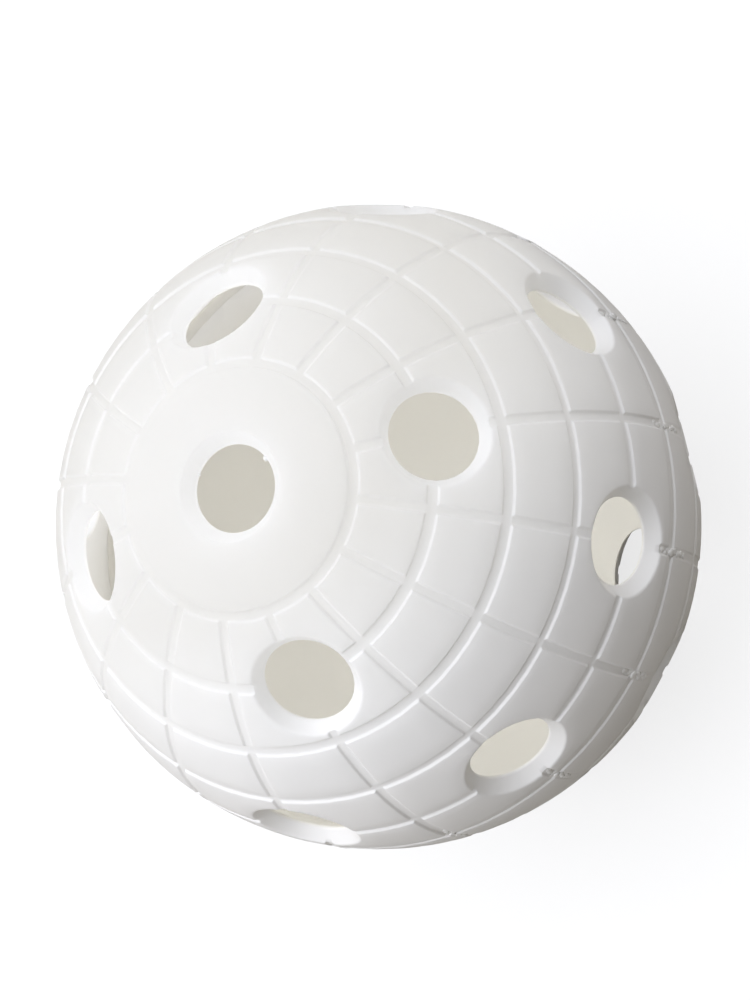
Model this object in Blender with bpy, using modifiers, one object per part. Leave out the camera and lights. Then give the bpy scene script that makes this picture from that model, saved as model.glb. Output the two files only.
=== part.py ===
"""Floorball: two moulded half shells and the weld bead that joins them.

Units are metres. The origin is the ball's centre. +Z runs out through the upper half's pole hole,
and the weld lies in the XY plane. The lower half is modelled pole up like the upper one and turned over.
Its grooves and holes are the same, but its two rings of holes lie nearer its pole.
"""

import math

import bpy
import bmesh
from mathutils import Matrix, Vector

# Ball
BALL_DIAMETER = 0.072
WALL = 0.002

# Holes: a straight throat on the inside, a conical crater, and a softened rim on the outside
HOLE_DIAMETER = 0.0096
CRATER_DIAMETER = 0.0128
THROAT_LENGTH = 0.0004
RIM_BREAK = 0.0004
RIM_DROP = 0.00015
POLE_RIM_LAND = 0.0004

# Hole pattern of each half: a pole hole, an inner ring, and an outer ring placed in steps of the parallels
INNER_RING_HOLES = 4
OUTER_RING_HOLES = 2 * INNER_RING_HOLES
UPPER_INNER_RING_ANGLE = math.radians(37.7)
UPPER_OUTER_RING_STEPS = 4.0
LOWER_INNER_RING_ANGLE = math.radians(34.3)
LOWER_OUTER_RING_STEPS = 3.5

# Grooves: parallels at even steps from the cap's edge to the seam, and meridians from the cap to the seam
CAP_ANGLE = math.radians(22.5)
PARALLELS = 5
MERIDIANS = 2 * OUTER_RING_HOLES
PARALLEL_WIDTH = 0.0013
PARALLEL_DEPTH = 0.00035
MERIDIAN_WIDTH = 0.00105
MERIDIAN_DEPTH = 0.00025
GROOVE_DRAFT = math.radians(25.0)

# Weld: a web in the gap between the two lips, with a rounded bead on the inside
SEAM_WIDTH = 0.0013
WELD_CLEARANCE = 0.0003
BEAD_WIDTH = 0.0024
BEAD_HEIGHT = 0.0007

# Facets
TURN_STEPS = 3 * MERIDIANS
HOLE_STEPS = 20
OUTER_ARC_STEP = math.radians(6.8)
INNER_ARC_STEP = math.radians(10.0)
BEAD_FACETS = 4
SHARP_ANGLE = math.radians(20.0)
MERGE_DISTANCE = 1e-6

# Colours and finish
SHELL_COLOUR = (0.86, 0.86, 0.84, 1.0)
WELD_COLOUR = (0.80, 0.80, 0.77, 1.0)
SHELL_ROUGHNESS = 0.45
WELD_ROUGHNESS = 0.55

BALL_RADIUS = BALL_DIAMETER / 2
INNER_RADIUS = BALL_RADIUS - WALL
HOLE_RADIUS = HOLE_DIAMETER / 2
CRATER_RADIUS = CRATER_DIAMETER / 2
PARALLEL_STEP = (math.pi / 2 - CAP_ANGLE) / PARALLELS
MERIDIAN_STEP = 2 * math.pi / MERIDIANS
UPPER_OUTER_RING_ANGLE = CAP_ANGLE + UPPER_OUTER_RING_STEPS * PARALLEL_STEP
LOWER_OUTER_RING_ANGLE = CAP_ANGLE + LOWER_OUTER_RING_STEPS * PARALLEL_STEP
CUT_MARGIN = WALL


def on_sphere(radius, polar):
    """Profile point at a polar angle from +Z."""
    return (radius * math.sin(polar), radius * math.cos(polar))


def arc_between(radius, start, end, step):
    """Profile points after start, up to and including end, no further apart than one step."""
    count = max(1, math.ceil(abs(end - start) / step))
    return [on_sphere(radius, start + (end - start) * i / count) for i in range(1, count + 1)]


def flare(mouth_height):
    """Wall of a hole, from the inside of the shell up to the crater's mouth, as radius and height."""
    inside = math.sqrt(INNER_RADIUS**2 - HOLE_RADIUS**2)
    return [
        (HOLE_RADIUS, inside),
        (HOLE_RADIUS, inside + THROAT_LENGTH),
        (CRATER_RADIUS - RIM_BREAK, mouth_height - RIM_DROP),
        (CRATER_RADIUS, mouth_height),
    ]


def groove_section(width, depth):
    """Half widths of a groove: at the ball's surface and at its floor."""
    top = width / 2
    return top, top - depth * math.tan(GROOVE_DRAFT)


def shell_profile():
    """Closed half section of a moulding: pole hole, grooved outside, lip and inside."""
    land_radius = CRATER_RADIUS + POLE_RIM_LAND
    land_height = math.sqrt(BALL_RADIUS**2 - land_radius**2)
    points = flare(land_height)
    points.append((land_radius, land_height))
    polar = math.asin(land_radius / BALL_RADIUS)
    top, floor = groove_section(PARALLEL_WIDTH, PARALLEL_DEPTH)
    floor_radius = BALL_RADIUS - PARALLEL_DEPTH
    for i in range(PARALLELS):
        middle = CAP_ANGLE + i * PARALLEL_STEP
        points += arc_between(BALL_RADIUS, polar, middle - top / BALL_RADIUS, OUTER_ARC_STEP)
        points.append(on_sphere(floor_radius, middle - floor / floor_radius))
        points.append(on_sphere(floor_radius, middle + floor / floor_radius))
        polar = middle + top / BALL_RADIUS
        points.append(on_sphere(BALL_RADIUS, polar))
    edge = math.acos(SEAM_WIDTH / 2 / BALL_RADIUS)
    points += arc_between(BALL_RADIUS, polar, edge, OUTER_ARC_STEP)
    lip = math.acos(SEAM_WIDTH / 2 / INNER_RADIUS)
    points.append(on_sphere(INNER_RADIUS, lip))
    throat = math.asin(HOLE_RADIUS / INNER_RADIUS)
    points += arc_between(INNER_RADIUS, lip, throat, INNER_ARC_STEP)[:-1]
    return points


def weld_profile():
    """Closed section of the weld: the web between the lips and the bead inside the shell."""
    web = SEAM_WIDTH / 2 - WELD_CLEARANCE
    outer = BALL_RADIUS - PARALLEL_DEPTH
    half = BEAD_WIDTH / 2
    seat = math.sqrt(INNER_RADIUS**2 - half**2) - WELD_CLEARANCE
    points = [(outer, web), (outer, -web), (seat, -web)]
    for i in range(BEAD_FACETS + 1):
        turn = math.pi * i / BEAD_FACETS
        points.append((seat - BEAD_HEIGHT * math.sin(turn), -half * math.cos(turn)))
    points.append((seat, web))
    return points


def crater_profile():
    """Section of the cutter for one hole, from its top on the axis down to its foot."""
    mouth = math.sqrt(BALL_RADIUS**2 - CRATER_RADIUS**2)
    wall = flare(mouth)
    (r0, h0), (r1, h1) = wall[-2:]
    top = mouth + CUT_MARGIN
    past_mouth = (r1 + (r1 - r0) * (top - h1) / (h1 - h0), top)
    foot = wall[0][1] - CUT_MARGIN
    return [(0, top), past_mouth, *reversed(wall[1:]), (HOLE_RADIUS, foot), (0, foot)]


def new_object(name, mesh, collection):
    obj = bpy.data.objects.new(name, mesh)
    collection.objects.link(obj)
    return obj


def turned(name, profile, closed, steps, collection):
    """A profile in the XZ plane turned about Z."""
    mesh = bpy.data.meshes.new(name)
    count = len(profile)
    edges = [(i, (i + 1) % count) for i in range(count if closed else count - 1)]
    mesh.from_pydata([(x, 0, z) for x, z in profile], edges, [])
    obj = new_object(name, mesh, collection)
    screw = obj.modifiers.new("turn", "SCREW")
    screw.axis = "Z"
    screw.angle = 2 * math.pi
    screw.steps = screw.render_steps = steps
    screw.use_merge_vertices = True
    screw.merge_threshold = MERGE_DISTANCE
    return obj


def meridian_mesh():
    """Cutter for one meridian groove: its section, swept from the cap's groove past the seam."""
    top, floor = groove_section(MERIDIAN_WIDTH, MERIDIAN_DEPTH)
    low = BALL_RADIUS - MERIDIAN_DEPTH
    high = BALL_RADIUS + CUT_MARGIN
    wide = top + CUT_MARGIN * math.tan(GROOVE_DRAFT)
    section = [(low, -floor), (low, floor), (high, wide), (high, -wide)]
    start = CAP_ANGLE
    sweep = math.pi / 2 + PARALLEL_WIDTH / BALL_RADIUS - start
    bm = bmesh.new()
    corners = []
    for radius, across in section:
        x, z = on_sphere(radius, start)
        corners.append(bm.verts.new((x, across, z)))
    bm.faces.new(corners)
    bmesh.ops.spin(
        bm,
        geom=bm.verts[:] + bm.edges[:] + bm.faces[:],
        axis=(0, 1, 0),
        angle=sweep,
        steps=math.ceil(sweep / OUTER_ARC_STEP),
    )
    bmesh.ops.recalc_face_normals(bm, faces=bm.faces)
    mesh = bpy.data.meshes.new("meridian_cutter")
    bm.to_mesh(mesh)
    bm.free()
    return mesh


def evaluated_mesh(obj, name):
    """The object's shape with its modifiers, as a mesh of its own."""
    graph = bpy.context.evaluated_depsgraph_get()
    mesh = bpy.data.meshes.new_from_object(obj.evaluated_get(graph))
    mesh.name = name
    return mesh


def cutter_group(name, collection):
    group = bpy.data.collections.new(name)
    collection.children.link(group)
    return group


def groove_cutters(collection):
    """Cutters for the meridian grooves, the same for both halves."""
    group = cutter_group("groove_cutters", collection)
    groove = meridian_mesh()
    for i in range(MERIDIANS):
        cutter = new_object(f"meridian_cutter_{i}", groove, group)
        cutter.rotation_euler = (0, 0, i * MERIDIAN_STEP)
    return group


def crater_mesh(collection):
    pattern = turned("crater_pattern", crater_profile(), False, HOLE_STEPS, collection)
    mesh = evaluated_mesh(pattern, "crater_cutter")
    bpy.data.objects.remove(pattern)
    return mesh


def crater_cutters(half, inner_angle, outer_angle, crater, collection):
    """Cutters for one half's two rings of holes."""
    group = cutter_group(f"{half}_crater_cutters", collection)
    for ring, holes, polar, first in (
        ("inner", INNER_RING_HOLES, inner_angle, 0.0),
        ("outer", OUTER_RING_HOLES, outer_angle, MERIDIAN_STEP),
    ):
        for i in range(holes):
            cutter = new_object(f"{half}_{ring}_crater_cutter_{i}", crater, group)
            cutter.rotation_euler = (0, polar, first + 2 * math.pi * i / holes)
    return group


def half_shell_mesh(half, grooves, craters, collection):
    """One moulding, pole up: a turned shell with its meridian grooves and its rings of holes cut."""
    for cutter in grooves.objects[:] + craters.objects[:]:
        cutter.hide_render = True
        cutter.display_type = "WIRE"
    blank = turned(f"{half}_blank", shell_profile(), True, TURN_STEPS, collection)
    for name, tools in (("grooves", grooves), ("holes", craters)):
        cut = blank.modifiers.new(name, "BOOLEAN")
        cut.operation = "DIFFERENCE"
        cut.operand_type = "COLLECTION"
        cut.collection = tools
    mesh = evaluated_mesh(blank, f"{half}_half_shell")
    bpy.data.objects.remove(blank)
    return mesh


def plastic(name, colour, roughness):
    material = bpy.data.materials.new(name)
    material.use_nodes = True
    shader = material.node_tree.nodes["Principled BSDF"]
    shader.inputs["Base Color"].default_value = colour
    shader.inputs["Roughness"].default_value = roughness
    shader.inputs["Metallic"].default_value = 0.0
    return material


def finish(obj, material):
    obj.data.shade_smooth()
    obj.data.set_sharp_from_angle(angle=SHARP_ANGLE)
    obj.data.materials.clear()
    obj.data.materials.append(material)


def main():
    for obj in bpy.data.objects[:]:
        bpy.data.objects.remove(obj)
    scene = bpy.context.scene.collection
    parts = bpy.data.collections.new("floorball")
    cutters = bpy.data.collections.new("cutters")
    scene.children.link(parts)
    scene.children.link(cutters)

    grooves = groove_cutters(cutters)
    crater = crater_mesh(cutters)
    shell_plastic = plastic("shell_plastic", SHELL_COLOUR, SHELL_ROUGHNESS)

    holes = crater_cutters("upper", UPPER_INNER_RING_ANGLE, UPPER_OUTER_RING_ANGLE, crater, cutters)
    upper = new_object("upper_half_shell", half_shell_mesh("upper", grooves, holes, cutters), parts)
    finish(upper, shell_plastic)

    holes = crater_cutters("lower", LOWER_INNER_RING_ANGLE, LOWER_OUTER_RING_ANGLE, crater, cutters)
    lower = new_object("lower_half_shell", half_shell_mesh("lower", grooves, holes, cutters), parts)
    finish(lower, shell_plastic)
    turn_axis = Vector((math.cos(-MERIDIAN_STEP / 2), math.sin(-MERIDIAN_STEP / 2), 0))
    lower.matrix_world = Matrix.Rotation(math.pi, 4, turn_axis)

    ring = turned("weld_pattern", weld_profile(), True, TURN_STEPS, cutters)
    weld = new_object("weld_bead", evaluated_mesh(ring, "weld_bead"), parts)
    bpy.data.objects.remove(ring)
    finish(weld, plastic("weld_plastic", WELD_COLOUR, WELD_ROUGHNESS))


main()
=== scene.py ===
import math
from collections import namedtuple

import bmesh
import bpy
from mathutils import Matrix, Vector, noise


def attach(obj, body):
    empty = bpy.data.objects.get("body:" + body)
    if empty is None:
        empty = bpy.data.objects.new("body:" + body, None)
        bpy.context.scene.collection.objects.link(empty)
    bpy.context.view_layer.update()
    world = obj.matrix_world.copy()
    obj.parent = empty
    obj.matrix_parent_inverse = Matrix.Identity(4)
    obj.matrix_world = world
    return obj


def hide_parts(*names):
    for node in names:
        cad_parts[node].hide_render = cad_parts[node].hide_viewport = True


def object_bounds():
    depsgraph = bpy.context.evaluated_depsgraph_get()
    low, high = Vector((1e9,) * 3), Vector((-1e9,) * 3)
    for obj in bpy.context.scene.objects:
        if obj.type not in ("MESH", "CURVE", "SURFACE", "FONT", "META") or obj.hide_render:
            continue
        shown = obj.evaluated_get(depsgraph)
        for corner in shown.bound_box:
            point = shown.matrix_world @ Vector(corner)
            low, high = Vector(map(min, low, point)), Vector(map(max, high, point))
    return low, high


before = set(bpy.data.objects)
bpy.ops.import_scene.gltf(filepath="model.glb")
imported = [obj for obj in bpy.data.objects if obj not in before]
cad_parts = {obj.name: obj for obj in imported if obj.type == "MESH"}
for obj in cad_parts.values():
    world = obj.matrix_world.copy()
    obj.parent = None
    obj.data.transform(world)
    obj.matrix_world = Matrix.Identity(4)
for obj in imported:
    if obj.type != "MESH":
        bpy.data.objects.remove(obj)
cad_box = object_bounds()

# Ball: lengths in millimetres and angles in radians, as in the part's source
MM = 0.001
FULL_TURN = 2 * math.pi
EQUATOR = math.pi / 2
OUTER = 36.0
INNER = 34.0
CAP = math.radians(22.5)
BANDS = 5
STEP = (EQUATOR - CAP) / BANDS
MERIDIANS = 16
LON_STEP = FULL_TURN / MERIDIANS
# Angles of the parallel grooves from the pole, the cap groove first and the seam last
PARALLELS = [CAP + i * STEP for i in range(BANDS)] + [EQUATOR]
SEAM = BANDS
# Meridians on which the holes of each ring lie, and the parallel below the inner ring
INNER_RING = range(0, MERIDIANS, 4)
OUTER_RING = range(1, MERIDIANS, 2)
BELOW_INNER = 2
# Height of a half's lip above the middle of the seam
LIP = 0.45

# Grooves: widths and depths, the run of a sloping wall, and the rounding of its edges
PARALLEL_WIDTHS = (1.16, 1.28, 1.27, 0.9, 0.92, 1.28)
PARALLEL_DEPTH = 0.29
SEAM_DEPTH = 0.19
MERIDIAN_WIDTH = 1.06
MERIDIAN_DEPTH = 0.27
WALL_RUN = 0.2
EDGE_ROUND = 0.09
EDGE_STEP = 0.01
EDGE_SHARE = 0.1
# Angle above the seam over which the meridians of the lower half get shallower
FADE_SPAN = math.radians(50)

# Craters: steps of the rim's arc, shares of the cone's length, and the rounding at the top of the throat
RIM_STEPS = 7
CONE_SHARES = (0.35, 0.7, 0.9)
THROAT_EDGE_OUT = 0.045
THROAT_EDGE_UP = 0.035
# Throat from the top down: distance out from its narrowest radius, and share of its height
THROAT_SHAPE = ((0.01, 0.15), (0.0, 0.5), (0.015, 0.82), (0.07, 1.0))
# Step out from the throat along the inside of the shell
INSIDE_STEP = 0.2
# A groove that meets a rim cuts into it as far down as this radius, with a soft edge
RIM_CUT = 34.5
RIM_BLEND = 0.06
# Height of the crest of a pole's crater, and how softly the rim bends into it
POLE_CREST = 35.352
CREST_REACH = 0.1
CREST_BLEND = 0.04

# Mesh: points between two grooves, points on the cap, and rings between a crater and its grooves
CELL_POINTS = 3
CAP_POINTS = 4
GRID_LAYERS = 4
# Coarser mesh of the inside: points per step of the grooves, rows on the cap, and radius of a hole's ring
INSIDE_POINTS = 3
INSIDE_COLUMNS = MERIDIANS * INSIDE_POINTS
INSIDE_CAP_ROWS = 2
INSIDE_RING = 6.1

# Weld: steps around the seam, and the heights of the skin's points, of which the outermost are tucked in
WELD_STEPS = 640
SKIN_EDGE = 0.5
SKIN_HALF = (0.08, 0.18, 0.3, 0.42, SKIN_EDGE)
SKIN_TUCK = 0.03
# Ridge along the skin, and a lump where each meridian ends
RIDGE_HEIGHT = 0.01
RIDGE_WIDTH = 0.15
LUMP_HEIGHT = 0.06
LUMP_LENGTH = 0.5
LUMP_WIDTH = 0.3
# Web between the lips, which reaches a little into each, and the bead on the inside
WEB_RADII = (35.0, 34.1)
WEB_OVERLAP = 0.02
WEB_HALF = LIP + WEB_OVERLAP
BEAD_EDGE = (34.05, 1.22)
BEAD_FOOT = 33.99
BEAD_HALF = 1.2
BEAD_HEIGHT = 0.62
BEAD_STEPS = 8
# Uneven parts of the weld: how far each swings, its waves per ball radius, and its layer of the noise
Wave = namedtuple("Wave", "swing waves layer")
RIDGE_COARSE = Wave(0.03, 22, 0)
RIDGE_FINE = Wave(0.02, 70, 0)
RIDGE_WANDER = Wave(0.06, 14, 5)
LUMP_SWING = Wave(1.0, 9, 9)
SKIN_GRAIN = Wave(0.02, 45, 0)
BEAD_SWING = Wave(0.06, 8, 20)
# Layers of noise that the skin's grain crosses per millimetre of height
GRAIN_RISE = 3

# Small blobs of plastic: mesh steps, unevenness, and where each seed reads the noise
BLOB_RINGS = 5
BLOB_TURNS = 10
BLOB_SWING = 0.45
BLOB_WAVES = 1.3
BLOB_PATTERN = (7.3, 1.7, 0.5)
# Flash on a meridian at the seam: height above the seam, distance to the side, and size
FLASH = (
    (1.6, 0.12, 0.46),
    (0.95, -0.15, 0.5),
    (0.3, 0.1, 0.42),
    (-0.45, -0.1, 0.5),
    (-1.2, 0.15, 0.5),
    (-2.0, -0.1, 0.46),
    (-2.9, 0.08, 0.5),
    (-3.8, -0.05, 0.4),
)
# Random change of a flash blob's height, side and size, and where a seed reads the noise for them
FLASH_LIFT = 0.3
FLASH_SWAY = 0.2
FLASH_GROWTH = 0.5
LIFT_PATTERN = (3.1, 2.7, 0.3)
SWAY_PATTERN = (2.3, 8.1, 0.7)
# Its stretch along and across the meridian, its height, and how deep it sits
FLASH_ALONG = 1.2
FLASH_ACROSS = 0.8
FLASH_HEIGHT = 0.17
FLASH_SINK = 0.05
# Nibs left on the edge of the upper pole hole: longitude in degrees, size and seed
NIBS = ((24.7, 0.34, 101), (143.7, 0.2, 102))
NIB_RADIUS = 4.78
NIB_HEIGHT = 33.98
NIB_SHAPE = (0.7, 1.0, 1.1)

# Plastic: light and shade painted towards one side, the side that faces the lamps, over a span of
# millimetres along that direction
LIT_SIDE = (-0.1, 0.5, 0.86)
LIT_SPAN = (-3.0, 23.0)
# Painted light and shade: a cool tint where the lamps light the ball and a warm tint on its shaded side
PAINTED_LIGHT_TINT = (0.95, 0.96, 0.985)
PAINTED_SHADE_TINT = (0.98, 0.966, 0.94)
# Painted bounce light: a cream tint on the inside
PAINTED_BOUNCE_TINT = (0.99, 0.968, 0.895)
# Share of the light that goes through the wall: little on the shaded side, which keeps it darker, more on
# the lit side and most on the inside; and its tint on the inside and the outside
GLOW_SHADED = 0.1
GLOW_LIT = 0.74
GLOW_INSIDE = 0.97
INSIDE_GLOW_TINT = (0.995, 0.986, 0.962)
OUTSIDE_GLOW_TINT = (0.995, 0.992, 0.984)
# Distances from the ball's centre between which the inside's painted bounce tint and its glow give way to
# the outside's
TINT_SPAN = (34.02, 34.4)
GLOW_SPAN = (34.02, 34.12)
# Noise for the clouding, the gloss and the grain: scale, detail and roughness
CLOUDS = (130.0, 5.0, 0.6)
GLOSS = (420.0, 4.0, 0.6)
GRAIN = (2600.0, 3.0, 0.6)
# Values of a noise between which a ramp runs
NOISE_SPAN = (0.3, 0.7)
GRAIN_STRENGTH = 0.12
GRAIN_DEPTH = 0.04
SPECULAR = 0.35
# Darkest and lightest colour, and smoothest and roughest finish
SHELL_COLORS = ((0.97, 0.97, 0.97), (0.995, 0.995, 0.995))
SHELL_FINISH = (0.38, 0.5)
WELD_COLORS = ((0.955, 0.953, 0.945), (0.98, 0.978, 0.97))
WELD_FINISH = (0.42, 0.55)
# Places of the colour sockets of Blender's Mix node
MIX_FACTOR = 0
MIX_A = 6
MIX_B = 7
MIX_RESULT = 2

# Floor: half width in metres, gap under the ball, and its colour as seen and in the light it throws back
FLOOR_HALF = 3
FLOOR_GAP = 0.2
FLOOR_SEEN = (0.95, 0.95, 0.95)
FLOOR_BOUNCE = (0.27, 0.248, 0.21)
FLOOR_ROUGHNESS = 0.9
FLOOR_WHITE_SHARE = 0.75

# Camera: where the pole points in the picture, and the ball's turn about it
POLE_RIGHT = -0.4497
POLE_UP = 0.1226
BALL_TURN = math.radians(14.63)
# Distance in ball radii, and the ball's outline and place in the picture, in pixels
CAMERA_RADII = 19.0
OUTLINE_PX = 323.0
BALL_RIGHT_PX = 3.5
BALL_BELOW_PX = 26.3
PICTURE_HEIGHT = 1000
SENSOR = 36

# Light: greatest strength of the sky, the side that it comes from, and the lamps' distance in metres.
# Directions are given by their parts to the picture's right, up and to the viewer.
SKY = 1.96
SKY_AIM = (-0.62, 0.68, 0.38)
LIGHT_TINT = (0.93, 0.946, 1.0)
LAMP_DISTANCE = 0.8
# Name, direction towards the lamp, width in metres and power in watts
LAMPS = (
    ("overhead", (-0.45, 0.12, 0.88), 0.7, 0.6),
    ("lower_left", (-0.65, -0.6, 0.46), 0.9, 2.6),
    ("front_left", (-0.5, -0.35, 0.8), 0.7, 1.35),
    ("left", (-0.93, 0.0, 0.35), 0.7, 0.9),
    ("upper_right", (0.75, 0.6, 0.25), 0.5, 0.8),
)


def groove_points(width, depth):
    """Half section of a groove, from its middle out: distance from the middle, and depth."""
    half = width / 2
    foot = half - WALL_RUN / 2
    edge = half + WALL_RUN / 2
    return [
        (foot - EDGE_ROUND, depth),
        (foot + EDGE_STEP, (1 - EDGE_SHARE) * depth),
        (half, depth / 2),
        (edge - EDGE_STEP, EDGE_SHARE * depth),
        (edge + EDGE_ROUND, 0.0),
    ]


MERIDIAN_SECTION = groove_points(MERIDIAN_WIDTH, MERIDIAN_DEPTH)
MERIDIAN_EDGE = MERIDIAN_SECTION[-1][0]
# Mesh steps from one edge of a groove to the other
GROOVE_STEPS = 2 * len(MERIDIAN_SECTION) - 1


def parallel_sections(last_depth):
    """Sections of the parallels and the seam, given the depth of the last parallel above the seam."""
    depths = [PARALLEL_DEPTH] * (BANDS - 1) + [last_depth, SEAM_DEPTH]
    return [groove_points(width, depth) for width, depth in zip(PARALLEL_WIDTHS, depths)]


def both_sides(section):
    """Distances from a groove's middle for all its points, from one edge to the other."""
    out = [s for s, _ in section]
    return [-s for s in reversed(out)] + out


def depth_at(section, across):
    """Depth of a groove at a distance from its middle."""
    across = abs(across)
    if across <= section[0][0]:
        return section[0][1]
    for (s0, d0), (s1, d1) in zip(section, section[1:]):
        if across <= s1:
            return d0 + (d1 - d0) * (across - s0) / (s1 - s0)
    return 0.0


def meridian_share(polar, at_seam):
    """Share of a meridian's depth at an angle from the pole, given the share that is left at the seam."""
    t = min(1.0, max(0.0, (EQUATOR - polar) / FADE_SPAN))
    return at_seam + (1 - at_seam) * t * t * (3 - 2 * t)


def direction(polar, lon):
    """Unit vector at an angle from the pole and a longitude."""
    return Vector((math.sin(polar) * math.cos(lon), math.sin(polar) * math.sin(lon), math.cos(polar)))


def angles(d):
    """Angle from the pole and longitude of a unit vector."""
    return math.acos(max(-1.0, min(1.0, d.z))), math.atan2(d.y, d.x)


def soft_min(a, b, blend):
    """The smaller of two values, with a rounded change from one to the other."""
    h = max(blend - abs(a - b), 0.0) / blend
    return min(a, b) - h * h * blend / 4


def crest(point):
    """Bend a point on the rim of the pole's crater to its slightly flat crest."""
    if point.z > POLE_CREST - CREST_REACH:
        point.z = soft_min(point.z, POLE_CREST, CREST_BLEND)
    return point


def crater_section(rim_start, rim_radius, cone_tilt, throat_top):
    """Section of a crater from the ball's surface to the inside: angle from the hole's axis, and radius."""
    tilt = math.radians(cone_tilt)
    start = math.asin(rim_start / OUTER)
    cx, cy = (OUTER - rim_radius) * math.sin(start), (OUTER - rim_radius) * math.cos(start)
    points = []
    for i in range(RIM_STEPS + 1):
        turn = start - (start + tilt) * i / RIM_STEPS
        points.append((cx + rim_radius * math.sin(turn), cy + rim_radius * math.cos(turn)))
    x, y = points[-1]
    throat = x - (y - throat_top) / math.tan(tilt)
    for share in CONE_SHARES:
        points.append((x + (throat - x) * share, y + (throat_top - y) * share))
    points.append((throat + THROAT_EDGE_OUT, throat_top + THROAT_EDGE_UP))
    height = throat_top - math.sqrt(INNER**2 - throat**2)
    points += [(throat + out, throat_top - share * height) for out, share in THROAT_SHAPE]
    points.append((throat + INSIDE_STEP, math.sqrt(INNER**2 - (throat + INSIDE_STEP) ** 2)))
    return [(math.atan2(x, y), math.hypot(x, y)) for x, y in points]


# Crater of the pole holes and the outer rings, with the angle of its rim
CRATER = crater_section(rim_start=6.38, rim_radius=0.5, cone_tilt=47.0, throat_top=34.05)
RIM_ANGLE = CRATER[0][0]

# What differs between the halves: the hole rings, the parallel above the outer ring's holes, the depth of
# the last parallel above the seam, and the share of a meridian's depth that is left at the seam
Half = namedtuple("Half", "inner_angle inner_crater outer_angle above last_depth at_seam")
UPPER = Half(
    inner_angle=math.radians(37.7),
    inner_crater=crater_section(rim_start=6.38, rim_radius=0.5, cone_tilt=51.5, throat_top=34.05),
    outer_angle=PARALLELS[4],
    above=3,
    last_depth=PARALLEL_DEPTH,
    at_seam=1.0,
)
LOWER = Half(
    inner_angle=math.radians(34.3),
    inner_crater=crater_section(rim_start=6.55, rim_radius=0.35, cone_tilt=41.0, throat_top=33.85),
    outer_angle=CAP + 3.5 * STEP,
    above=2,
    last_depth=0.14,
    at_seam=0.2,
)


class Axes(namedtuple("Axes", "axis north east")):
    """A hole's own directions: out along its axis, towards the pole, and to the east."""

    def toward(self, angle, azimuth):
        around = self.north * math.cos(azimuth) + self.east * math.sin(azimuth)
        return self.axis * math.cos(angle) + around * math.sin(angle)

    def reach(self, d):
        return math.acos(max(-1, min(1, d.dot(self.axis))))

    def azimuth(self, d):
        return math.atan2(d.dot(self.east), d.dot(self.north))


POLE_AXES = Axes(Vector((0, 0, 1)), Vector((1, 0, 0)), Vector((0, 1, 0)))


def hole_axes(polar, lon):
    axis = direction(polar, lon)
    east = Vector((-math.sin(lon), math.cos(lon), 0.0))
    return Axes(axis, axis.cross(east), east)


# Column of the mesh: distance from the middle of a meridian, or share of the cell that follows it
Column = namedtuple("Column", "meridian across share")


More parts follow.
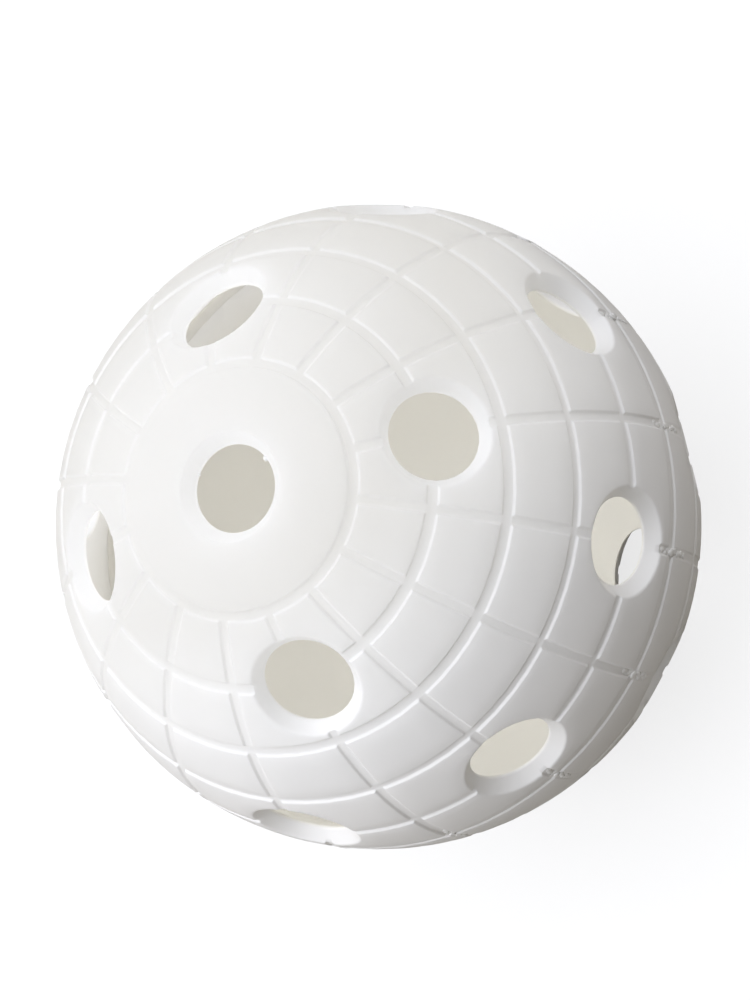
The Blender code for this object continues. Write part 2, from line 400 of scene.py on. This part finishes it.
class Shell:
    """Mesh of one half: rows of polar angle by columns of longitude, with a round grid at each hole."""

    def __init__(self, half):
        self.sections = parallel_sections(half.last_depth)
        self.at_seam = half.at_seam
        self.points = []
        self.faces = []
        self.cells = {}
        self.make_rows()
        self.make_columns()

    def make_rows(self):
        """Polar angles of the rows, the first row of each parallel, and the set of rows in a groove."""
        polar = RIM_ANGLE
        self.rows = [polar]
        self.groove_rows = []
        self.in_groove = set()
        for i, (middle, section) in enumerate(zip(PARALLELS, self.sections)):
            edge = section[-1][0] / OUTER
            count = CAP_POINTS if i == 0 else CELL_POINTS
            gap = middle - edge - polar
            self.rows += [polar + gap * k / (count + 1) for k in range(1, count + 1)]
            self.groove_rows.append(len(self.rows))
            offsets = both_sides(section)
            if i == SEAM:
                offsets = offsets[: len(section)]
            self.in_groove.update(range(len(self.rows), len(self.rows) + len(offsets)))
            self.rows += [middle + s / OUTER for s in offsets]
            polar = middle + edge

    def make_columns(self):
        """Columns, and the first column of each meridian."""
        self.columns = []
        self.groove_columns = []
        for j in range(MERIDIANS):
            self.groove_columns.append(len(self.columns))
            self.columns += [Column(j, s, None) for s in both_sides(MERIDIAN_SECTION)]
            self.columns += [Column(j, None, k / (CELL_POINTS + 1)) for k in range(1, CELL_POINTS + 1)]

    def column(self, index):
        return self.columns[index % len(self.columns)]

    def lon(self, index, polar):
        """Longitude of a column at a polar angle."""
        meridian, across, share = self.column(index)
        turn = index // len(self.columns) * FULL_TURN
        sine = math.sin(polar)
        if share is None:
            return turn + meridian * LON_STEP + math.asin(math.sin(across / OUTER) / sine)
        edge = math.asin(math.sin(MERIDIAN_EDGE / OUTER) / sine)
        return turn + meridian * LON_STEP + edge + share * (LON_STEP - 2 * edge)

    def groove_depth(self, polar, lon):
        """Depth of the deepest groove at a place."""
        depth = 0.0
        for middle, section in zip(PARALLELS, self.sections):
            depth = max(depth, depth_at(section, OUTER * (polar - middle)))
        if polar >= CAP:
            j = round(lon / LON_STEP)
            across = OUTER * math.asin(math.sin(polar) * math.sin(lon - j * LON_STEP))
            depth = max(depth, meridian_share(polar, self.at_seam) * depth_at(MERIDIAN_SECTION, across))
        return depth

    def surface(self, d):
        """Point of the grooved surface in a direction."""
        return crest(d * (OUTER - self.groove_depth(*angles(d))))

    def add(self, point):
        self.points.append(point)
        return len(self.points) - 1

    def grid(self, row, column):
        """Index of the mesh point at a row and column, made when it is first asked for."""
        key = (row, column % len(self.columns))
        if key not in self.cells:
            polar = self.rows[row]
            self.cells[key] = self.add(self.surface(direction(polar, self.lon(column, polar))))
        return self.cells[key]

    def fill(self, row0, row1, column0, column1):
        """Faces of a block of rows and columns."""
        for row in range(row0, row1):
            for column in range(column0, column1):
                corners = ((row, column), (row + 1, column), (row + 1, column + 1), (row, column + 1))
                self.faces.append(tuple(self.grid(r, c) for r, c in corners))

    def join(self, ring_a, ring_b):
        """Faces between two closed rings with the same number of points."""
        count = len(ring_a)
        for k in range(count):
            n = (k + 1) % count
            self.faces.append((ring_a[k], ring_b[k], ring_b[n], ring_a[n]))

    def stitch(self, ring_a, ring_b):
        """Triangles between two closed rings of unlike counts, each (angle, point) by rising angle."""
        base = ring_a[0][0]

        def from_base(angle):
            return (angle - base + math.pi) % FULL_TURN - math.pi

        def unwrap(ring, first):
            out = []
            last = -math.inf
            for k in range(len(ring) + 1):
                angle, point = ring[(first + k) % len(ring)]
                angle = from_base(angle)
                while angle <= last:
                    angle += FULL_TURN
                out.append((angle, point))
                last = angle
            return out

        start = min(range(len(ring_b)), key=lambda k: abs(from_base(ring_b[k][0])))
        a, b = unwrap(ring_a, 0), unwrap(ring_b, start)
        i = j = 0
        while i < len(ring_a) or j < len(ring_b):
            if j == len(ring_b) or (i < len(ring_a) and a[i + 1][0] <= b[j + 1][0]):
                self.faces.append((a[i][1], b[j][1], a[i + 1][1]))
                i += 1
            else:
                self.faces.append((a[i][1], b[j][1], b[j + 1][1]))
                j += 1

    def add_crater(self, crater, axes, azimuths, rim, grooved):
        """Rings down a crater's wall from its rim. Returns the last, on the inside, as (azimuth, point)."""
        ring = rim
        for angle, radius in crater[1:]:
            below = []
            for azimuth in azimuths:
                d = axes.toward(angle, azimuth)
                r = radius
                if grooved and radius > RIM_CUT:
                    r = soft_min(radius, OUTER - self.groove_depth(*angles(d)), RIM_BLEND)
                below.append(self.add(crest(d * r)))
            self.join(ring, below)
            ring = below
        return [(azimuth % FULL_TURN, point) for azimuth, point in zip(azimuths, ring)]

    def perimeter(self, row0, row1, first, last):
        """Grid points around a hole, clockwise from the north-west: row, column and kind of line inwards.

        A line that starts in a groove runs along it, and any other runs across the cell.
        """

        def column_line(column):
            return "cell" if self.column(column).across is None else "meridian"

        def row_line(row):
            return "parallel" if row in self.in_groove else "cell"

        sides = (
            [(row0, column, column_line(column)) for column in range(first, last)],
            [(row, last, row_line(row)) for row in range(row0, row1)],
            [(row1, column, column_line(column)) for column in range(last, first, -1)],
            [(row, first, row_line(row)) for row in range(row1, row0, -1)],
        )
        # Each side starts at a corner, where two grooves meet, and its line runs across the cell
        around = []
        for (row, column, _), *others in sides:
            around += [(row, column, "cell"), *others]
        return around

    def rim_azimuths(self, around, polar, rim_angle):
        """Azimuth at a crater's rim for each line: on its groove, and evenly spread between the grooves."""
        cos_hole, sin_hole = math.cos(polar), math.sin(polar)
        cos_rim, sin_rim = math.cos(rim_angle), math.sin(rim_angle)
        top_row, west_column, _ = around[0]
        azimuths = []
        for row, column, line in around:
            if line == "meridian":
                azimuth = math.asin(math.sin(self.column(column).across / OUTER) / sin_rim)
                azimuths.append(azimuth if row == top_row else math.pi - azimuth)
            elif line == "parallel":
                azimuth = math.acos((math.cos(self.rows[row]) - cos_hole * cos_rim) / (sin_hole * sin_rim))
                azimuths.append(-azimuth if column == west_column else azimuth)
            else:
                azimuths.append(None)
        count = len(around)
        fixed = [k for k in range(count) if azimuths[k] is not None]
        for k0, k1 in zip(fixed, fixed[1:] + [fixed[0] + count]):
            b0, b1 = azimuths[k0], azimuths[k1 % count]
            while b1 < b0:
                b1 += FULL_TURN
            for k in range(k0 + 1, k1):
                azimuths[k % count] = b0 + (b1 - b0) * (k - k0) / (k1 - k0)
        return azimuths

    def spoke(self, axes, rim_angle, azimuth, row, column, line):
        """Directions along a line from a crater's rim out to its grid point, without that point."""
        rim_polar, rim_lon = angles(axes.toward(rim_angle, azimuth))
        edge_polar = self.rows[row]
        edge = direction(edge_polar, self.lon(column, edge_polar))
        edge_lon = angles(edge)[1]
        edge_lon += round((rim_lon - edge_lon) / FULL_TURN) * FULL_TURN
        reach, bearing = axes.reach(edge), axes.azimuth(edge)
        spoke = []
        for m in range(GRID_LAYERS):
            t = m / GRID_LAYERS
            if line == "meridian":
                meridian, across, _ = self.column(column)
                polar = rim_polar + (edge_polar - rim_polar) * t
                lon = meridian * LON_STEP + math.asin(math.sin(across / OUTER) / math.sin(polar))
                spoke.append(direction(polar, lon))
            elif line == "parallel":
                spoke.append(direction(edge_polar, rim_lon + (edge_lon - rim_lon) * t))
            else:
                x = rim_angle * math.cos(azimuth) * (1 - t) + reach * math.cos(bearing) * t
                y = rim_angle * math.sin(azimuth) * (1 - t) + reach * math.sin(bearing) * t
                angle = math.hypot(x, y)
                around = axes.north * x + axes.east * y
                spoke.append(axes.axis * math.cos(angle) + around * (math.sin(angle) / angle))
        return spoke

    def add_hole(self, crater, polar, j, row0, row1):
        """Crater on meridian j and the grid around it. Returns its axes and its ring on the inside."""
        axes = hole_axes(polar, j * LON_STEP)
        rim_angle = crater[0][0]
        first = self.groove_columns[(j - 1) % MERIDIANS] + GROOVE_STEPS
        last = self.groove_columns[(j + 1) % MERIDIANS]
        if last < first:
            last += len(self.columns)
        around = self.perimeter(row0, row1, first, last)
        azimuths = self.rim_azimuths(around, polar, rim_angle)
        layers = [[] for _ in range(GRID_LAYERS)]
        outer = []
        for (row, column, line), azimuth in zip(around, azimuths):
            outer.append(self.grid(row, column))
            for layer, d in zip(layers, self.spoke(axes, rim_angle, azimuth, row, column, line)):
                layer.append(self.add(self.surface(d)))
        for near, far in zip(layers, layers[1:] + [outer]):
            self.join(far, near)
        return axes, self.add_crater(crater, axes, azimuths, layers[0], grooved=True)

    def add_pole_hole(self):
        """Crater at the pole. Returns its ring on the inside."""
        columns = range(len(self.columns))
        rim = [self.grid(0, column) for column in columns]
        lons = [self.lon(column, RIM_ANGLE) for column in columns]
        return self.add_crater(CRATER, POLE_AXES, lons, rim, grooved=False)

    def lip(self):
        """Last row, at the foot of the seam's groove, as (longitude, point) by rising longitude."""
        row = len(self.rows) - 1
        columns = range(len(self.columns))
        return sorted((self.lon(c, self.rows[row]) % FULL_TURN, self.grid(row, c)) for c in columns)


class Inside:
    """Inside of a half: a coarser grid than the outside's, with a ring of points around each hole."""

    def __init__(self, shell):
        self.shell = shell
        self.cells = {}
        self.ring_angle = math.asin(INSIDE_RING / INNER)
        gap = CAP - self.ring_angle
        self.rows = [self.ring_angle + gap * k / INSIDE_CAP_ROWS for k in range(INSIDE_CAP_ROWS)]
        self.rows += [CAP + STEP * k / INSIDE_POINTS for k in range(BANDS * INSIDE_POINTS)]
        self.rows.append(math.acos(LIP / INNER))
        # Row under each parallel, and the lip's row in the seam's place
        self.groove_rows = [INSIDE_CAP_ROWS + i * INSIDE_POINTS for i in range(len(PARALLELS))]

    def grid(self, row, column):
        """Index of the mesh point at a row and column, made when it is first asked for."""
        key = (row, column % INSIDE_COLUMNS)
        if key not in self.cells:
            lon = key[1] * FULL_TURN / INSIDE_COLUMNS
            self.cells[key] = self.shell.add(direction(self.rows[row], lon) * INNER)
        return self.cells[key]

    def circle(self, row):
        """A whole row, as (longitude, point) by rising longitude."""
        return [(c * FULL_TURN / INSIDE_COLUMNS, self.grid(row, c)) for c in range(INSIDE_COLUMNS)]

    def fill(self, row0, row1, column0, column1):
        """Faces of a block of rows and columns."""
        for row in range(row0, row1):
            for column in range(column0, column1):
                corners = ((row, column), (row, column + 1), (row + 1, column + 1), (row + 1, column))
                self.shell.faces.append(tuple(self.grid(r, c) for r, c in corners))

    def add_hole(self, axes, ring, j, row0, row1):
        """Grid around the hole on meridian j, in to the crater's ring."""
        west, east = (j - 1) * INSIDE_POINTS, (j + 1) * INSIDE_POINTS
        around = [(row0, column) for column in range(west, east)]
        around += [(row, east) for row in range(row0, row1)]
        around += [(row1, column) for column in range(east, west, -1)]
        around += [(row, west) for row in range(row1, row0, -1)]
        near, halfway, outer = [], [], []
        azimuths = []
        for row, column in around:
            point = self.grid(row, column)
            outer.append(point)
            d = self.shell.points[point].normalized()
            azimuth = axes.azimuth(d)
            azimuths.append(azimuth % FULL_TURN)
            near.append(self.shell.add(axes.toward(self.ring_angle, azimuth) * INNER))
            angle = self.ring_angle + (axes.reach(d) - self.ring_angle) / 2
            halfway.append(self.shell.add(axes.toward(angle, azimuth) * INNER))
        self.shell.join(halfway, outer)
        self.shell.join(near, halfway)
        self.shell.stitch(sorted(ring), sorted(zip(azimuths, near)))


def add_outside(shell, half):
    """Grooved outside of a half. Returns the axes and the inside ring of each hole but the pole's."""
    rows = shell.groove_rows
    below_cap = rows[0] + GROOVE_STEPS
    below_band = rows[half.above] + GROOVE_STEPS
    wide = len(shell.columns)
    # Cap and its groove, the plain band between the hole rings, and the band along the seam
    shell.fill(0, below_cap, 0, wide)
    shell.fill(rows[BELOW_INNER], below_band, 0, wide)
    shell.fill(rows[SEAM], len(shell.rows) - 1, 0, wide)
    holes = []
    for j in INNER_RING:
        holes.append(shell.add_hole(half.inner_crater, half.inner_angle, j, below_cap, rows[BELOW_INNER]))
        west, east = shell.groove_columns[j + 1], shell.groove_columns[j + 3] + GROOVE_STEPS
        shell.fill(below_cap, rows[BELOW_INNER], west, east)
    for j in OUTER_RING:
        holes.append(shell.add_hole(CRATER, half.outer_angle, j, below_band, rows[SEAM]))
        west = shell.groove_columns[j - 1]
        shell.fill(below_band, rows[SEAM], west, west + GROOVE_STEPS)
    return holes


def add_inside(shell, half, holes, pole_ring):
    """Smooth inside of a half, joined to its craters and its lip."""
    inside = Inside(shell)
    rows = inside.groove_rows
    inside.fill(0, rows[0], 0, INSIDE_COLUMNS)
    inside.fill(rows[BELOW_INNER], rows[half.above], 0, INSIDE_COLUMNS)
    for (axes, ring), j in zip(holes, INNER_RING):
        inside.add_hole(axes, ring, j, rows[0], rows[BELOW_INNER])
        inside.fill(rows[0], rows[BELOW_INNER], (j + 1) * INSIDE_POINTS, (j + 3) * INSIDE_POINTS)
    for (axes, ring), j in zip(holes[len(INNER_RING):], OUTER_RING):
        inside.add_hole(axes, ring, j, rows[half.above], rows[SEAM])
    shell.stitch(sorted(pole_ring), inside.circle(0))
    shell.stitch(shell.lip(), inside.circle(rows[SEAM]))


def build_half(half):
    """Mesh of one half, pole up."""
    shell = Shell(half)
    holes = add_outside(shell, half)
    pole_ring = shell.add_pole_hole()
    add_inside(shell, half, holes, pole_ring)
    return shell


def swing(wave, place, rise=0.0):
    """Value of a wave at a place on the seam's circle."""
    return wave.swing * noise.noise(place * wave.waves + Vector((0, 0, wave.layer + rise)))


def seeded(seed, pattern):
    """Random value between -1 and 1 that a seed always gets."""
    step, y, z = pattern
    return noise.noise(Vector((seed * step, y, z)))


def add_blob(points, faces, middle, out, along, sizes, seed):
    """Small irregular blob of plastic: half sizes along, across and out of the surface."""
    side = out.cross(along).normalized()
    along = side.cross(out).normalized()
    step_x, step_y, layer = BLOB_PATTERN
    pattern = Vector((seed * step_x, seed * step_y, layer))
    first = len(points)
    for i in range(BLOB_RINGS + 1):
        count = 1 if i in (0, BLOB_RINGS) else BLOB_TURNS
        for k in range(count):
            unit = direction(math.pi * i / BLOB_RINGS, FULL_TURN * k / BLOB_TURNS)
            v = unit * (1 + BLOB_SWING * noise.noise(unit * BLOB_WAVES + pattern))
            point = middle + along * (v.x * sizes[0])
            points.append(point + side * (v.y * sizes[1]) + out * (v.z * sizes[2]))

    def at(i, k):
        if i == 0:
            return first
        if i == BLOB_RINGS:
            return first + 1 + (BLOB_RINGS - 1) * BLOB_TURNS
        return first + 1 + (i - 1) * BLOB_TURNS + k % BLOB_TURNS

    for i in range(BLOB_RINGS):
        for k in range(BLOB_TURNS):
            quad = (at(i, k), at(i + 1, k), at(i + 1, k + 1), at(i, k + 1))
            faces.append(tuple(dict.fromkeys(quad)))


def add_nibs(shell):
    """Nibs on the edge of the pole hole."""
    for degrees, size, seed in NIBS:
        lon = math.radians(degrees)
        inward = Vector((-math.cos(lon), -math.sin(lon), 0))
        middle = inward * -NIB_RADIUS + Vector((0, 0, NIB_HEIGHT))
        sizes = [size * stretch for stretch in NIB_SHAPE]
        add_blob(shell.points, shell.faces, middle, inward, POLE_AXES.axis, sizes, seed)


def weld_section(lon):
    """Section of the weld at a longitude, as (radius, height): skin, lower web, bead and upper web."""
    place = Vector((math.cos(lon), math.sin(lon), 0))
    away = abs(lon - round(lon / LON_STEP) * LON_STEP) * OUTER
    ridge = RIDGE_HEIGHT + swing(RIDGE_COARSE, place) + swing(RIDGE_FINE, place)
    middle = swing(RIDGE_WANDER, place)
    lump = LUMP_HEIGHT * math.exp(-((away / LUMP_LENGTH) ** 2)) * (1 + swing(LUMP_SWING, place))
    section = []
    for z in (*reversed(SKIN_HALF), 0.0, *(-z for z in SKIN_HALF)):
        r = OUTER - SEAM_DEPTH
        if abs(z) == SKIN_EDGE:
            r -= SKIN_TUCK
        on_ridge = math.exp(-(((z - middle) / RIDGE_WIDTH) ** 2))
        on_lump = math.exp(-((z / LUMP_WIDTH) ** 2))
        r += ridge * on_ridge + lump * on_lump
        r += swing(SKIN_GRAIN, place, z * GRAIN_RISE)
        section.append((r, z))
    upper_web = [BEAD_EDGE] + [(r, WEB_HALF) for r in reversed(WEB_RADII)]
    section += [(r, -z) for r, z in reversed(upper_web)]
    height = BEAD_HEIGHT + swing(BEAD_SWING, place)
    for k in range(1, BEAD_STEPS):
        turn = math.pi * k / BEAD_STEPS
        section.append((BEAD_FOOT - height * math.sin(turn), -BEAD_HALF * math.cos(turn)))
    return section + upper_web


def add_flash(points, faces):
    """Flash squeezed out where each meridian meets the seam."""
    for j in range(MERIDIANS):
        for k, (z, across, size) in enumerate(FLASH):
            seed = j * len(FLASH) + k
            shift = seeded(seed, LIFT_PATTERN)
            z += FLASH_LIFT * shift
            lon = j * LON_STEP + (across + FLASH_SWAY * seeded(seed, SWAY_PATTERN)) / OUTER
            out = direction(math.acos(z / OUTER), lon)
            at_seam = UPPER.at_seam if z > 0 else LOWER.at_seam
            depth = MERIDIAN_DEPTH * meridian_share(math.acos(abs(z) / OUTER), at_seam)
            scale = size * (1 + FLASH_GROWTH * shift)
            sizes = (scale * FLASH_ALONG, scale * FLASH_ACROSS, FLASH_HEIGHT)
            add_blob(points, faces, out * (OUTER - depth - FLASH_SINK), out, POLE_AXES.axis, sizes, seed)


def build_weld():
    """Points and faces of the weld, with its flash."""
    points, faces = [], []
    for i in range(WELD_STEPS):
        lon = FULL_TURN * i / WELD_STEPS
        section = weld_section(lon)
        points += [Vector((r * math.cos(lon), r * math.sin(lon), z)) for r, z in section]
    width = len(section)
    for i in range(WELD_STEPS):
        n = (i + 1) % WELD_STEPS
        for k in range(width):
            m = (k + 1) % width
            faces.append((i * width + k, i * width + m, n * width + m, n * width + k))
    add_flash(points, faces)
    return points, faces


def make_object(name, points, faces, matrix=None):
    """Smooth-shaded object in metres. Nothing of it stands out of the part's own box."""
    mesh = bpy.data.meshes.new(name)
    mesh.from_pydata([v * MM for v in points], [], faces)
    if matrix is not None:
        mesh.transform(matrix)
    for v in mesh.vertices:
        v.co = [min(max(c, low), high) for c, low, high in zip(v.co, *cad_box)]
    bm = bmesh.new()
    bm.from_mesh(mesh)
    bmesh.ops.recalc_face_normals(bm, faces=bm.faces)
    bm.to_mesh(mesh)
    bm.free()
    mesh.shade_smooth()
    obj = bpy.data.objects.new(name, mesh)
    bpy.context.scene.collection.objects.link(obj)
    return obj


def noise_node(tree, coords, scale, detail, roughness):
    node = tree.nodes.new("ShaderNodeTexNoise")
    node.inputs["Scale"].default_value = scale
    node.inputs["Detail"].default_value = detail
    node.inputs["Roughness"].default_value = roughness
    tree.links.new(coords.outputs["Object"], node.inputs["Vector"])
    return node


def ramp_node(tree, source, dark, light):
    """Colour from dark to light over the usual span of a noise."""
    node = tree.nodes.new("ShaderNodeValToRGB")
    for element, position, color in zip(node.color_ramp.elements, NOISE_SPAN, (dark, light)):
        element.position = position
        element.color = (*color, 1)
    tree.links.new(source.outputs["Fac"], node.inputs["Fac"])
    return node


def blend_node(tree, kind, factor, a, b):
    """Blend of two colours. Each value is a number, a colour or a node's output."""
    node = tree.nodes.new("ShaderNodeMix")
    node.data_type = "RGBA"
    node.blend_type = kind
    for place, value in ((MIX_FACTOR, factor), (MIX_A, a), (MIX_B, b)):
        socket = node.inputs[place]
        if isinstance(value, bpy.types.NodeSocket):
            tree.links.new(value, socket)
        elif isinstance(value, tuple):
            socket.default_value = (*value, 1)
        else:
            socket.default_value = value
    return node.outputs[MIX_RESULT]


def position_node(tree, coords, operation, low, high):
    """Share from 0 to 1 by the place on the ball: towards its lit side, or by distance from its centre."""
    place = tree.nodes.new("ShaderNodeVectorMath")
    place.operation = operation
    if operation == "DOT_PRODUCT":
        place.inputs[1].default_value = Vector(LIT_SIDE).normalized()
    tree.links.new(coords.outputs["Object"], place.inputs[0])
    share = tree.nodes.new("ShaderNodeMapRange")
    share.inputs["From Min"].default_value = low * MM
    share.inputs["From Max"].default_value = high * MM
    tree.links.new(place.outputs["Value"], share.inputs["Value"])
    return share


def plastic(name, colors, finish):
    """Satin moulded plastic: faint clouding, fine grain, and light that spreads inside the wall."""
    mat = bpy.data.materials.new(name)
    mat.use_nodes = True
    tree = mat.node_tree
    shader = tree.nodes["Principled BSDF"]
    shader.inputs["Specular IOR Level"].default_value = SPECULAR
    coords = tree.nodes.new("ShaderNodeTexCoord")

    # Painted light and shade: cool white on the side the lamps light, warmer on the shaded side, and cream
    # on the inside as painted bounce light
    clouds = ramp_node(tree, noise_node(tree, coords, *CLOUDS), *colors)
    lit_share = position_node(tree, coords, "DOT_PRODUCT", *LIT_SPAN)
    outside = position_node(tree, coords, "LENGTH", *TINT_SPAN)
    skin_tint = blend_node(tree, "MIX", lit_share.outputs["Result"], PAINTED_SHADE_TINT, PAINTED_LIGHT_TINT)
    tint = blend_node(tree, "MIX", outside.outputs["Result"], PAINTED_BOUNCE_TINT, skin_tint)
    color = blend_node(tree, "MULTIPLY", 1.0, clouds.outputs["Color"], tint)
    tree.links.new(color, shader.inputs["Base Color"])

    smoothest, roughest = finish
    gloss = ramp_node(tree, noise_node(tree, coords, *GLOSS), (smoothest,) * 3, (roughest,) * 3)
    tree.links.new(gloss.outputs["Color"], shader.inputs["Roughness"])
    grain = noise_node(tree, coords, *GRAIN)
    bump = tree.nodes.new("ShaderNodeBump")
    bump.inputs["Strength"].default_value = GRAIN_STRENGTH
    bump.inputs["Distance"].default_value = GRAIN_DEPTH * MM
    tree.links.new(grain.outputs["Fac"], bump.inputs["Height"])
    tree.links.new(bump.outputs["Normal"], shader.inputs["Normal"])

    # The wall lets more light through on the lit side and little on the shaded side, which keeps that side
    # darker, and more at its inner face
    through = tree.nodes.new("ShaderNodeBsdfTranslucent")
    glow_tint = blend_node(tree, "MIX", outside.outputs["Result"], INSIDE_GLOW_TINT, OUTSIDE_GLOW_TINT)
    tree.links.new(glow_tint, through.inputs["Color"])
    most = position_node(tree, coords, "LENGTH", *GLOW_SPAN)
    most.inputs["To Min"].default_value = GLOW_INSIDE
    most.inputs["To Max"].default_value = GLOW_LIT
    glow = position_node(tree, coords, "DOT_PRODUCT", *LIT_SPAN)
    glow.inputs["To Min"].default_value = GLOW_SHADED
    tree.links.new(most.outputs["Result"], glow.inputs["To Max"])
    both = tree.nodes.new("ShaderNodeMixShader")
    tree.links.new(glow.outputs["Result"], both.inputs["Fac"])
    tree.links.new(shader.outputs["BSDF"], both.inputs[1])
    tree.links.new(through.outputs["BSDF"], both.inputs[2])
    tree.links.new(both.outputs["Shader"], tree.nodes["Material Output"].inputs["Surface"])
    return mat


def floor_white():
    """White to the camera, with a share of its own shading kept so that the ball's shadow shows."""
    mat = bpy.data.materials.new("floor_white")
    mat.use_nodes = True
    tree = mat.node_tree
    paint = tree.nodes["Principled BSDF"]
    paint.inputs["Roughness"].default_value = FLOOR_ROUGHNESS
    paint.inputs["Specular IOR Level"].default_value = 0.0
    white = tree.nodes.new("ShaderNodeEmission")
    white.inputs["Strength"].default_value = 1.0
    path = tree.nodes.new("ShaderNodeLightPath")
    share = tree.nodes.new("ShaderNodeMath")
    share.operation = "MULTIPLY"
    share.inputs[1].default_value = FLOOR_WHITE_SHARE
    tree.links.new(path.outputs["Is Camera Ray"], share.inputs[0])
    tone = tree.nodes.new("ShaderNodeValToRGB")
    tone.color_ramp.elements[0].color = (*FLOOR_BOUNCE, 1)
    tone.color_ramp.elements[1].color = (*FLOOR_SEEN, 1)
    tree.links.new(path.outputs["Is Camera Ray"], tone.inputs["Fac"])
    tree.links.new(tone.outputs["Color"], paint.inputs["Base Color"])
    both = tree.nodes.new("ShaderNodeMixShader")
    tree.links.new(share.outputs["Value"], both.inputs["Fac"])
    tree.links.new(paint.outputs["BSDF"], both.inputs[1])
    tree.links.new(white.outputs["Emission"], both.inputs[2])
    tree.links.new(both.outputs["Shader"], tree.nodes["Material Output"].inputs["Surface"])
    return mat


def make_floor():
    mesh = bpy.data.meshes.new("floor")
    corners = [(x * FLOOR_HALF, y * FLOOR_HALF, 0) for x, y in ((-1, -1), (1, -1), (1, 1), (-1, 1))]
    mesh.from_pydata(corners, [], [(0, 1, 2, 3)])
    floor = bpy.data.objects.new("floor", mesh)
    bpy.context.scene.collection.objects.link(floor)
    floor.location.z = cad_box[0][2] - FLOOR_GAP * MM
    mesh.materials.append(floor_white())
    return floor


def picture_axes():
    """Directions of the picture's right, of its up and to the viewer, in the ball's frame."""
    pole = Vector((POLE_RIGHT, POLE_UP, math.sqrt(1 - POLE_RIGHT**2 - POLE_UP**2)))
    level = (Vector((1, 0, 0)) - pole * pole.x).normalized()
    steep = pole.cross(level)
    ball_x = level * math.cos(BALL_TURN) + steep * math.sin(BALL_TURN)
    ball_y = steep * math.cos(BALL_TURN) - level * math.sin(BALL_TURN)
    return [Vector(parts) for parts in zip(ball_x, ball_y, pole)]


RIGHT, UP, BACK = picture_axes()


def from_picture(aim):
    """Unit vector in the ball's frame for a direction that is given in the picture's axes."""
    return (RIGHT * aim[0] + UP * aim[1] + BACK * aim[2]).normalized()


def make_camera():
    distance = CAMERA_RADII * OUTER * MM
    # Rays along the outline touch the ball, so the outline is a little wider than the ball at its middle
    focal_px = OUTLINE_PX * math.sqrt(CAMERA_RADII**2 - 1)
    per_px = distance / focal_px
    data = bpy.data.cameras.new("camera")
    data.lens = SENSOR * focal_px / PICTURE_HEIGHT
    data.sensor_width = SENSOR
    camera = bpy.data.objects.new("camera", data)
    bpy.context.scene.collection.objects.link(camera)
    place = BACK * distance - RIGHT * (BALL_RIGHT_PX * per_px) + UP * (BALL_BELOW_PX * per_px)
    turn = Matrix((RIGHT, UP, BACK)).transposed().to_4x4()
    camera.matrix_world = Matrix.Translation(place) @ turn
    bpy.context.scene.camera = camera


def make_sky():
    """Soft light that is strongest from one side of the room and fades to none at right angles to it."""
    world = bpy.data.worlds.new("studio")
    bpy.context.scene.world = world
    world.use_nodes = True
    tree = world.node_tree
    sky = tree.nodes["Background"]
    sky.inputs["Color"].default_value = (*LIGHT_TINT, 1)
    look = tree.nodes.new("ShaderNodeTexCoord")
    lean = tree.nodes.new("ShaderNodeVectorMath")
    lean.operation = "DOT_PRODUCT"
    lean.inputs[1].default_value = from_picture(SKY_AIM)
    tree.links.new(look.outputs["Generated"], lean.inputs[0])
    fade = tree.nodes.new("ShaderNodeMapRange")
    fade.inputs["To Max"].default_value = SKY
    tree.links.new(lean.outputs["Value"], fade.inputs["Value"])
    tree.links.new(fade.outputs["Result"], sky.inputs["Strength"])


def make_lamps():
    for name, aim, size, energy in LAMPS:
        lamp = bpy.data.lights.new(name, "AREA")
        lamp.energy = energy
        lamp.color = LIGHT_TINT
        lamp.shape = "DISK"
        lamp.size = size
        softbox = bpy.data.objects.new(name, lamp)
        bpy.context.scene.collection.objects.link(softbox)
        toward = from_picture(aim)
        softbox.location = toward * LAMP_DISTANCE
        softbox.rotation_euler = (-toward).to_track_quat("-Z", "Y").to_euler()


# The lower half is turned over, about an axis midway between two meridians
turn_axis = Vector((math.cos(-LON_STEP / 2), math.sin(-LON_STEP / 2), 0))
shell = build_half(LOWER)
lower = make_object("lower_shell", shell.points, shell.faces, Matrix.Rotation(math.pi, 4, turn_axis))
shell = build_half(UPPER)
add_nibs(shell)
upper = make_object("upper_shell", shell.points, shell.faces)
weld = make_object("weld_ring", *build_weld())
skin = plastic("shell_plastic", SHELL_COLORS, SHELL_FINISH)
joint = plastic("weld_plastic", WELD_COLORS, WELD_FINISH)
for obj, node, slot, mat in (
    (upper, "upper_half_shell", "shell_plastic", skin),
    (lower, "lower_half_shell", "shell_plastic", skin),
    (weld, "weld_bead", "weld_plastic", joint),
):
    obj.data.materials.append(mat)
    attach(obj, "root")
    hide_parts(node)

floor = make_floor()
make_camera()
make_sky()
make_lamps()
bpy.context.scene.view_settings.view_transform = "Standard"
